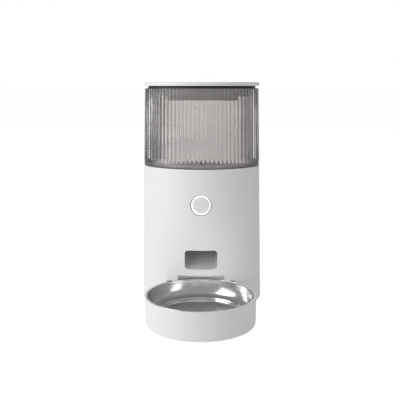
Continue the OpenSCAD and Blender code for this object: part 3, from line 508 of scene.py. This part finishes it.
def makeBody():
    track = ovalTrack(body["columns"])
    top, wall, lip, foot = shellHigh.z, tower["wall"], body["lip"], tower["footEdge"]
    loops = []
    for turn in body["footTurns"]:
        a = radians(turn)
        loops.append(ovalLoop(track, shellLow.z + foot * (1 - cos(a)), foot * (1 - sin(a)), leaning=False))
    rows = int((top - lip - footZ) / body["rowStep"])
    for row in range(rows + 1):
        loops.append(ovalLoop(track, footZ + (top - lip - footZ) * row / rows, 0))
    loops += [ovalLoop(track, top - lip * 0.3, lip * 0.3), ovalLoop(track, top, lip),
              ovalLoop(track, top, wall - lip * 0.5), ovalLoop(track, top - lip * 0.5, wall)]
    for share in body["innerRows"]:
        loops.append(ovalLoop(track, footZ + (top - footZ) * share, wall))
    loops.append(ovalLoop(track, footZ, wall + 0.05 * mm))
    shell = sweepLoops("bodyShell", loops, close="ring")

    rimRoom = bowlHigh.z + body["rimClearance"]
    reach, below = holderRadius + body["recessPlay"], body["cutStart"]
    recess = rod(bowlCentre + Vector((0, 0, rimRoom / 2 - below)), reach, rimRoom + 2 * below, 160, "Z")
    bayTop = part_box("bowl_bay")[1].z - wall
    slotHalf, slotLow = body["slotWidth"] / 2, body["slotLow"]
    slot = roundedBox(Vector((-slotHalf, bowlCentre.y, slotLow)),
                      Vector((slotHalf, bowlCentre.y + reach, bayTop)), body["slotCorner"])
    front, back = shellLow.y - body["cutStart"], shellHigh.y + body["cutStart"]
    depth = body["cutDepth"]
    outlet = roundedBox(Vector((trimLow.x, front, trimLow.z)),
                        Vector((trimHigh.x, front + depth, trimHigh.z)), body["holeCorner"])
    middle = (ringLow + ringHigh) / 2
    groove = rod(Vector((0, front + depth / 2, middle.z)), ringHigh.x + body["buttonGroove"], depth, 96)
    gap = Vector((body["doorGap"], 0, body["doorGap"]))
    door = roundedBox(Vector((doorLow.x, back - depth, doorLow.z)) - gap,
                      Vector((doorHigh.x, back, doorHigh.z)) + gap, body["doorCorner"])
    inlet = roundedBox(Vector((inletLow.x, back - depth, inletLow.z)),
                       Vector((inletHigh.x, back, inletHigh.z)), body["inletCorner"])
    resetMiddle = (resetLow + resetHigh) / 2
    reset = rod(Vector((resetMiddle.x, back - depth / 2, resetMiddle.z)),
                resetHigh.x - resetMiddle.x + body["resetPlay"], depth, 48)
    speakerMiddle = (speakerLow + speakerHigh) / 2
    speakerReach = speakerHigh.x - speakerMiddle.x - body["speakerRim"]
    holes = []
    pitch, rowPitch = body["speakerPitch"], body["speakerPitch"] * 0.87  # rows staggered by half a pitch
    for i in range(-body["speakerRows"], body["speakerRows"] + 1):
        for j in range(-body["speakerRows"], body["speakerRows"] + 1):
            x, z = (i + (abs(j) % 2) / 2) * pitch, j * rowPitch
            if hypot(x, z) < speakerReach:
                holes.append(rod(Vector((speakerMiddle.x + x, back - depth / 2, speakerMiddle.z + z)),
                                 body["speakerHole"], depth, 24))
    for cutter in (recess, slot, outlet, groove, door, inlet, reset, joined("speakerHoles", holes)):
        carve(shell, cutter)
    roundEdges(shell, body["edge"], 50)
    smooth(shell, 40)
    return shell


settle(makeBody(), "bodyShell", "base", "white_plastic", whiteShell, "body_shell")
print("stage 3: body shell made")


def filleted(path, steps=5):
    # Rounds the corners of a profile; each entry is (radius, height, fillet)
    points = []
    for k, (r, z, fillet) in enumerate(path):
        if not fillet or k in (0, len(path) - 1):
            points.append((r, z))
            continue
        here = Vector((r, z))
        before = (Vector(path[k - 1][:2]) - here).normalized()
        after = (Vector(path[k + 1][:2]) - here).normalized()
        for step in range(steps + 1):
            share = step / steps
            spot = here + before * fillet * (1 - share) ** 2 + after * fillet * share ** 2
            points.append((spot.x, spot.y))
    return points


def turned(name, centre, path, columns, close="caps"):
    return sweepLoops(name, [roundLoop(centre, r * mm, z * mm, columns) for r, z in path], close)


hopper = {"flutes": 84, "perFlute": 10, "depth": 1.0 * mm, "band": 6 * mm, "fade": 7 * mm,
          "topBand": 1.4 * mm, "wall": 2.4 * mm, "edge": 0.4 * mm}


def makeHopper():
    track = ovalTrack(hopper["flutes"] * hopper["perFlute"])
    low, high, wall, edge = hopperLow.z, hopperHigh.z, hopper["wall"], hopper["edge"]

    def fluted(z, share):
        loop = []
        for k, (x, y, facing) in enumerate(track):
            # From -1 to 1 over one flute, which is proud in its middle
            across = 2 * (k % hopper["perFlute"]) / hopper["perFlute"] - 1
            depth = lean(z) + share * hopper["depth"] * across * across
            loop.append(Vector((x - depth * cos(facing), y - depth * sin(facing), z)))
        return loop

    bandTop = low + hopper["band"]
    fluteTop = high - hopper["topBand"]
    loops = [ovalLoop(track, low, edge), ovalLoop(track, low + edge, 0), ovalLoop(track, bandTop, 0)]
    for share in (0.25, 0.5, 0.75, 1):
        loops.append(fluted(bandTop + hopper["fade"] * share, share))
    for share in (0.2, 0.4, 0.6, 0.8):
        loops.append(fluted(bandTop + hopper["fade"] + (fluteTop - bandTop - hopper["fade"]) * share, 1))
    loops += [fluted(fluteTop, 1), fluted(fluteTop + 0.5 * mm, 0.3), ovalLoop(track, fluteTop + 0.8 * mm, 0),
              ovalLoop(track, high - edge, 0), ovalLoop(track, high, edge),
              ovalLoop(track, high, wall - edge), ovalLoop(track, high - edge, wall),
              ovalLoop(track, (low + high) / 2, wall),
              ovalLoop(track, low + edge, wall), ovalLoop(track, low, wall - edge)]
    piece = sweepLoops("hopperWall", loops, "ring")
    smooth(piece, 50)
    return piece


settle(makeHopper(), "hopperWall", "hopper", "smoke_clear", smokeClear, "hopper")

lid = {"columns": 240, "overhang": 0.8 * mm, "edge": 1.6 * mm, "underEdge": 0.6 * mm}


def makeLid():
    track = ovalTrack(lid["columns"])
    edge, under, out = lid["edge"], lid["underEdge"], lid["overhang"]
    low, high = lidLow.z, lidHigh.z
    loops = [ovalLoop(track, low, -out + under), ovalLoop(track, low + under * 0.3, -out + under * 0.3),
             ovalLoop(track, low + under, -out)]
    for turn in range(0, 91, 15):
        a = radians(turn)
        loops.append(ovalLoop(track, high - edge + edge * sin(a), -out + edge * (1 - cos(a))))
    piece = sweepLoops("lidTop", loops)
    smooth(piece, 40)
    return piece


settle(makeLid(), "lidTop", "lid", "white_plastic", whiteShell, "lid")


plug = {"columns": 200, "inset": 2.6 * mm, "wall": 2 * mm, "edge": 0.3 * mm, "sealWall": 2.2 * mm,
        "sealLip": 0.5 * mm}


def makeLidPlug():
    low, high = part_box("lid_plug")
    track = ovalTrack(plug["columns"])
    outer, edge = plug["inset"] + plug["sealWall"], plug["edge"]
    inner = outer + plug["wall"]
    roof = high.z - plug["wall"]
    loops = [ovalLoop(track, roof, inner), ovalLoop(track, low.z + edge, inner),
             ovalLoop(track, low.z, inner - edge), ovalLoop(track, low.z, outer + edge),
             ovalLoop(track, low.z + edge, outer), ovalLoop(track, high.z, outer)]
    piece = sweepLoops("lidPlug", loops)
    smooth(piece, 40)
    return piece


settle(makeLidPlug(), "lidPlug", "lid", "inner_white_plastic", plugPaintedGapShadow, "lid_plug")


def makeLidSeal():
    # A ring whose outer face bulges to a soft lip at half height
    low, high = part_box("lid_seal")
    track = ovalTrack(plug["columns"])
    outer, inner, lip = plug["inset"], plug["inset"] + plug["sealWall"], plug["sealLip"]
    loops = [ovalLoop(track, low.z, inner), ovalLoop(track, low.z, outer + lip)]
    for rise in (0.12, 0.3, 0.5, 0.7, 0.88):
        loops.append(ovalLoop(track, low.z + (high.z - low.z) * rise, outer + lip * 2 * abs(rise - 0.5) ** 2))
    loops += [ovalLoop(track, high.z, outer + lip), ovalLoop(track, high.z, inner)]
    piece = sweepLoops("lidSeal", loops, "ring")
    smooth(piece, 40)
    return piece


settle(makeLidSeal(), "lidSeal", "lid", "silicone", clearSilicone, "lid_seal")

funnel = {"columns": 240, "play": 0.3 * mm, "wall": 2.2 * mm, "edge": 0.4 * mm, "throatPlay": 0.6 * mm,
          "throatWall": 2.8 * mm, "slopeSteps": 4}


def makeHopperFloor():
    # Funnel from the oval hopper down to the round throat over the portion wheel
    low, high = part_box("hopper_floor")
    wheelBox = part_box("portion_wheel")
    throat = (wheelBox[0] + wheelBox[1]) / 2
    throatIn = (wheelBox[1].x - wheelBox[0].x) / 2 + funnel["throatPlay"]
    out, wall, edge = hopper["wall"] + funnel["play"], funnel["wall"], funnel["edge"]
    track = ovalTrack(funnel["columns"])
    rimZ = hopperLow.z
    shares = [step / funnel["slopeSteps"] for step in range(funnel["slopeSteps"] + 1)]

    def between(outline, radius, z, share):
        points = []
        for place in outline:
            away = Vector((place.x - throat.x, place.y - throat.y, 0))
            near = Vector((throat.x, throat.y, 0)) + away.normalized() * radius
            spot = near.lerp(Vector((place.x, place.y, 0)), share)
            points.append(Vector((spot.x, spot.y, z)))
        return points

    outerRim, innerRim = ovalLoop(track, rimZ, out), ovalLoop(track, rimZ + wall, out + wall)
    throatOut = throatIn + funnel["throatWall"]
    loops = []
    for share in shares:
        loops.append(between(outerRim, throatOut, low.z + (rimZ - low.z) * share, share))
    loops += [ovalLoop(track, high.z - edge, out), ovalLoop(track, high.z, out + edge),
              ovalLoop(track, high.z, out + wall - edge), ovalLoop(track, high.z - edge, out + wall)]
    for share in shares[::-1]:
        loops.append(between(innerRim, throatIn, low.z + (rimZ + wall - low.z) * share, share))
    piece = sweepLoops("hopperFunnel", loops, "ring")
    smooth(piece, 40)
    return piece


settle(makeHopperFloor(), "hopperFunnel", "hopper", "dark_plastic", funnelPlastic, "hopper_floor")
print("stage 4: hopper and lid made")

trim = {"cornerIn": 5.5 * mm, "cornerOut": 6.5 * mm, "lip": 1.2 * mm, "proud": 0.3 * mm, "depth": 8 * mm,
        "edge": 0.35 * mm, "bend": 0.5 * mm}


def bentToWall(piece, proud):
    # The front of a piece modelled flat is moved onto the wall's curve; its back stays flat
    for vertex in piece.data.vertices:
        x, y, z = vertex.co
        if y < trim["bend"]:
            vertex.co.y = y + frontWall(x, z) - proud
        else:
            vertex.co.y = trimHigh.y


def roundedOutline(halfWidth, halfHeight, corner, middleZ, y, perCorner=8, perSide=10):
    points = []
    for cx, cz, start in ((1, -1, -90), (1, 1, 0), (-1, 1, 90), (-1, -1, 180)):
        middleX, upZ = cx * (halfWidth - corner), cz * (halfHeight - corner)
        for step in range(perCorner + 1):
            a = radians(start + 90 * step / perCorner)
            points.append((middleX + corner * cos(a), upZ + corner * sin(a)))
    dense = []
    for k, (x, z) in enumerate(points):
        nextX, nextZ = points[(k + 1) % len(points)]
        pieces = perSide if hypot(nextX - x, nextZ - z) > 2 * mm else 1
        dense += [(x + (nextX - x) * j / pieces, z + (nextZ - z) * j / pieces) for j in range(pieces)]
    return [Vector((x, y, middleZ + z)) for x, z in dense]


def makeOutletTrim():
    middle = (trimLow + trimHigh) / 2
    halfWidth, halfHeight = trimHigh.x, (trimHigh.z - trimLow.z) / 2
    lip, edge = trim["lip"], trim["edge"]

    def outline(inset, y):
        shrink = inset / lip
        corner = trim["cornerOut"] + (trim["cornerIn"] - trim["cornerOut"]) * shrink
        return roundedOutline(halfWidth - inset, halfHeight - inset, corner, middle.z, y)

    deep = trim["depth"]
    loops = [outline(0, deep), outline(0, edge), outline(edge * 0.3, edge * 0.3), outline(edge, 0),
             outline(lip - edge, 0), outline(lip - edge * 0.3, edge * 0.3), outline(lip, edge),
             outline(lip, deep)]
    piece = sweepLoops("outletTrim", loops, "ring")
    bentToWall(piece, trim["proud"])
    smooth(piece, 40)
    return piece


settle(makeOutletTrim(), "outletTrim", "base", "white_plastic", whiteShell, "outlet_trim")

duct = {"wall": 2 * mm, "throatDepth": 17.2 * mm, "throatHeight": 32 * mm, "corner": 5.5 * mm,
        "floorDrop": 6 * mm, "roofRise": 2 * mm, "bend": 8 * mm, "play": 0.3 * mm, "sensorHole": 2.6 * mm,
        "sensorReach": 6 * mm, "shares": (0, 0.03, 0.25, 0.5, 0.75, 1)}


def makeChute():
    # A rounded duct that falls from the portion wheel and turns towards the outlet
    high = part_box("chute")[1]
    halfWidth = trimHigh.x - trim["lip"]
    rear = high.y - duct["wall"]
    throat = rear - duct["throatDepth"]
    turnZ = high.z - duct["throatHeight"]
    lowZ, highZ = trimLow.z + trim["lip"], trimHigh.z - trim["lip"]
    mouth = frontWall(0, (lowZ + highZ) / 2, tower["wall"])

    def station(floor, roof, extra, corner):
        middle, across = (floor + roof) / 2, roof - floor
        outline = roundedOutline(halfWidth + extra, across.length / 2 + extra, corner, 0, 0)
        return [Vector((p.x, middle.x + across.normalized().x * p.z, middle.y + across.normalized().y * p.z))
                for p in outline]

    def ductLoops(extra):
        corner = duct["corner"] + extra
        loops = []
        for share in duct["shares"]:
            floor = Vector((mouth, lowZ)).lerp(Vector((rear, turnZ - duct["floorDrop"])), share)
            roof = Vector((mouth, highZ)).lerp(Vector((throat, turnZ + duct["roofRise"])), share)
            loops.append(station(floor, roof, extra, corner))
        for height in (turnZ + duct["bend"], high.z):
            loops.append(station(Vector((rear, height)), Vector((throat, height)), extra, corner))
        for loop in loops[:2]:  # the mouth follows the tower's wall
            for point in loop:
                point.y += frontWall(point.x, point.z, tower["wall"] + duct["play"]) - mouth
        return loops

    outer, inner = ductLoops(duct["wall"]), ductLoops(0)
    piece = sweepLoops("chuteDuct", outer + inner[::-1], "ring")
    sensorLow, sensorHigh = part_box("sensor_emitter")
    sensor = (sensorLow + sensorHigh) / 2
    length = 2 * (halfWidth + duct["sensorReach"])
    carve(piece, rod(Vector((0, sensor.y, sensor.z)), duct["sensorHole"], length, 32, "X"))
    smooth(piece, 35)
    return piece


settle(makeChute(), "chuteDuct", "base", "inner_white_plastic", chuteGrey, "chute")

button = {"columns": 96, "ringWidth": 2.5 * mm, "ringEdge": 0.25 * mm, "capEdge": 0.5 * mm,
          "capDepth": 3.2 * mm, "dish": 0.35 * mm, "stem": 4 * mm, "stemEdge": 0.4 * mm, "bend": 1.5 * mm}
buttonZ = (ringLow.z + ringHigh.z) / 2
faceY = frontWall(0, buttonZ)


def facingRound(path, columns):
    # A round piece about the button's own axis whose face follows the wall; entries are (radius, depth)
    loops = []
    for r, depth in path:
        loop = []
        for k in range(columns):
            x, z = r * cos(2 * pi * k / columns), buttonZ + r * sin(2 * pi * k / columns)
            loop.append(Vector((x, depth + (frontWall(x, z) if depth < button["bend"] else faceY), z)))
        loops.append(loop)
    return loops


def makeLightRing():
    outer = ringHigh.x
    inner = outer - button["ringWidth"]
    front, back, edge = ringLow.y - faceY, ringHigh.y - faceY, button["ringEdge"]
    path = [(inner, back), (inner, front + edge), (inner + edge * 0.3, front + edge * 0.3),
            (inner + edge, front), (outer - edge, front), (outer - edge * 0.3, front + edge * 0.3),
            (outer, front + edge), (outer, back)]
    piece = sweepLoops("lightRing", facingRound(path, button["columns"]), "ring")
    smooth(piece, 40)
    return piece


settle(makeLightRing(), "lightRing", "base", "light_guide", litRing, "light_ring")


def makeButtonCap():
    # A shallow dished cap on its stem
    outer, stem, dish, stemEdge = buttonHigh.x, button["stem"], button["dish"], button["stemEdge"]
    front, back, edge = buttonLow.y - faceY, buttonHigh.y - faceY, button["capEdge"]
    capBack = front + button["capDepth"]
    path = [(0.4 * mm, front + dish)]
    for share in (0.25, 0.5, 0.75, 0.9):
        path.append((outer * share, front + dish * (1 - share * share)))
    path += [(outer - edge, front + 0.05 * mm), (outer - edge * 0.3, front + edge * 0.35),
             (outer, front + edge), (outer, capBack), (stem, capBack), (stem, back - stemEdge),
             (stem - stemEdge, back)]
    piece = sweepLoops("feedButton", facingRound(path, button["columns"]))
    smooth(piece, 40)
    return piece


settle(makeButtonCap(), "feedButton", "feed_button", "white_plastic", whiteShell, "feed_button")

# The tongue reaches back under the tower and finds the holder's place
holder = {"columns": 192, "floor": 5.8, "seatDrop": 2.1, "rim": 2.4, "cup": 0.7, "taper": 0.2, "footRing": 12,
          "tongueHalf": 25, "tongueRoot": 6, "tongueLow": 7, "tongueHigh": 11.5, "tongueCorner": 1}


def makeHolder():
    r, base, top = holderRadius / mm, holderLow.z / mm, holderHigh.z / mm
    foot, seat, floor = r - holder["taper"], r - holder["rim"], holder["floor"]
    cup, seatZ, ring = seat - holder["cup"], top - holder["seatDrop"], foot - holder["footRing"]
    path = filleted([(0.5, base + 2, 0), (ring, base + 2, 0), (ring + 3, base, 0.6), (foot - 5, base, 0),
                     (foot, base + 0.4, 3.4), (r, top - 2, 0), (r, top, 1.2), (seat, top, 0.4),
                     (seat, seatZ, 0.3), (cup, seatZ, 0.5), (cup - 1, floor + 3, 1.5), (cup - 4, floor, 1.5),
                     (0.5, floor, 0)])
    piece = turned("bowlHolder", bowlCentre, path, holder["columns"])
    half, root = holder["tongueHalf"] * mm, bowlCentre.y + (foot - holder["tongueRoot"]) * mm
    tongue = roundedBox(Vector((-half, root, holder["tongueLow"] * mm)),
                        Vector((half, holderHigh.y, holder["tongueHigh"] * mm)), holder["tongueCorner"] * mm)
    carve(piece, tongue, "UNION")
    smooth(piece, 35)
    return piece


settle(makeHolder(), "bowlHolder", "tray", "white_plastic", whiteShell, "bowl_holder")

# Treads and curve are given by how far they lie outside the flat floor and above it
steel = {"columns": 192, "sheet": 0.8, "floorRadius": 58, "rimFlange": 1.5, "rimHeight": 1.7,
         "curveFillet": 1.1,
         "treads": [(0.9, 0.0, 0.5), (1.5, 1.9, 0.5), (3.0, 2.3, 0.5), (3.8, 4.3, 0.6)],
         "curve": [(6.4, 5.4), (9.2, 7.6), (11.2, 10.6), (12.6, 14.4), (13.6, 19.0), (14.2, 24.0)]}


def makeBowl():
    rim, low, high = bowlHigh.x / mm, bowlLow.z / mm, bowlHigh.z / mm
    sheet, flat = steel["sheet"], steel["floorRadius"]
    inside, floorZ, seat = rim - steel["rimFlange"], low + sheet, high - steel["rimHeight"]
    inner = [(flat + out, floorZ + up, fillet) for out, up, fillet in steel["treads"]]
    inner += [(flat + out, floorZ + up, steel["curveFillet"]) for out, up in steel["curve"]]
    outer = [(r + sheet * 0.8, z - sheet * 0.6, fillet) for r, z, fillet in inner]
    path = [(0.5, low, 0), (flat + 0.6, low, 0.4)] + outer
    path += [(inside + sheet - 0.2, seat - 0.4, 0.6), (rim - 0.4, seat - 0.4, 0.3), (rim, seat + 0.3, 0.4),
             (rim - 0.2, high, 0.6), (rim - 1, high, 0.5), (inside, seat + 0.9, 0.6)]
    path += inner[::-1] + [(0.5, floorZ, 0)]
    piece = turned("steelBowl", bowlCentre, filleted(path), steel["columns"])
    smooth(piece, 30)
    return piece


settle(makeBowl(), "steelBowl", "bowl", "bowl_steel", bowlSteel, "bowl")
print("stage 5: outlet, button, holder and bowl made")

finishes = {
    "white_plastic": whiteShell, "inner_white_plastic": innerWhite, "smoke_clear": smokeClear,
    "dark_plastic": darkPlastic, "silicone": clearSilicone, "wiper_silicone": orangeSilicone,
    "foot_rubber": softRubber, "acetal": acetal, "motor_steel": plated, "screw_steel": plated,
    "bowl_steel": bowlSteel, "light_guide": litRing, "board_green": boardGreen, "contact_brass": contactBrass,
}


def finishCadNodes():
    for subpart in frame["record"]["subparts"]:
        name = subpart["node"]
        for slot in nodes[name].material_slots:
            slot.material = finishes[subpart["material_slot"]]


finishCadNodes()

view = {"lens": 58.79, "place": (0.0146, -0.9247, 0.3245), "tilt": 90 - 9.905, "turn": 1.003}


def addCamera():
    camera = bpy.data.objects.new("camera", bpy.data.cameras.new("camera"))
    bpy.context.scene.collection.objects.link(camera)
    camera.data.lens = view["lens"]
    camera.data.clip_end = 200
    camera.location = view["place"]
    camera.rotation_euler = (radians(view["tilt"]), 0, radians(view["turn"]))
    bpy.context.scene.camera = camera


def addSoftbox(name, place, size, power, target=(0, 0.02, 0.16), mirrored=True):
    light = bpy.data.lights.new(name, "AREA")
    light.shape = "RECTANGLE"
    light.size, light.size_y = size
    light.energy = power
    piece = bpy.data.objects.new(name, light)
    bpy.context.scene.collection.objects.link(piece)
    piece.location = place
    piece.visible_glossy = mirrored
    piece.rotation_euler = (Vector(target) - Vector(place)).to_track_quat("-Z", "Y").to_euler()


studio = {"world": 0.36, "worldTint": (1.0, 0.985, 0.955, 1), "floorSeen": 0.68, "floorLit": 0.2}


def seenMask(tree):
    # One for rays from the camera and rays that came through clear plastic, else nought
    path = tree.nodes.new("ShaderNodeLightPath")
    either = addNode(tree, "ShaderNodeMath", operation="MAXIMUM")
    tree.links.new(path.outputs["Is Camera Ray"], either.inputs[0])
    tree.links.new(path.outputs["Is Transmission Ray"], either.inputs[1])
    return either.outputs[0]


def addWorld():
    # Seen directly or through clear plastic the backdrop is white; as a light it is dimmer
    world = bpy.data.worlds.new("studio")
    bpy.context.scene.world = world
    world.use_nodes = True
    tree = world.node_tree
    tree.nodes.clear()
    output = tree.nodes.new("ShaderNodeOutputWorld")
    seen, lit = tree.nodes.new("ShaderNodeBackground"), tree.nodes.new("ShaderNodeBackground")
    seen.inputs["Color"].default_value = (1, 1, 1, 1)
    lit.inputs["Strength"].default_value = studio["world"]
    lit.inputs["Color"].default_value = studio["worldTint"]
    mix = tree.nodes.new("ShaderNodeMixShader")
    tree.links.new(seenMask(tree), mix.inputs["Fac"])
    tree.links.new(lit.outputs[0], mix.inputs[1])
    tree.links.new(seen.outputs[0], mix.inputs[2])
    tree.links.new(mix.outputs[0], output.inputs["Surface"])


def addFloor():
    deselectAll()
    bpy.ops.mesh.primitive_plane_add(size=160, location=(0, 0, cadBox[0].z - 0.0002))
    floor = bpy.context.object
    floor.name = "floor"
    look = {"Base Color": (0.85, 0.85, 0.85, 1), "Roughness": 0.8, "Emission Color": (1, 1, 1, 1)}
    material, tree, shader = shaderMaterial("paleFloor", look)
    glow = addNode(tree, "ShaderNodeMapRange", {"To Min": studio["floorLit"], "To Max": studio["floorSeen"]})
    tree.links.new(seenMask(tree), glow.inputs["Value"])
    tree.links.new(glow.outputs["Result"], shader.inputs["Emission Strength"])
    floor.data.materials.append(material)


addCamera()
addWorld()
addFloor()
addSoftbox("leftBox", (-1.7, -0.8, 0.9), (1.4, 1.6), 23.5)
addSoftbox("topBox", (0.1, -0.3, 1.9), (1.2, 1.2), 7)
# Light that the polished bowl throws back on the front above it
addSoftbox("bowlGlow", (0.03, -0.1, 0.048), (0.07, 0.04), 0.028, (0.03, -0.01, 0.1), mirrored=False)
bpy.context.scene.view_settings.view_transform = "Standard"
print("stage 6: camera and studio placed")
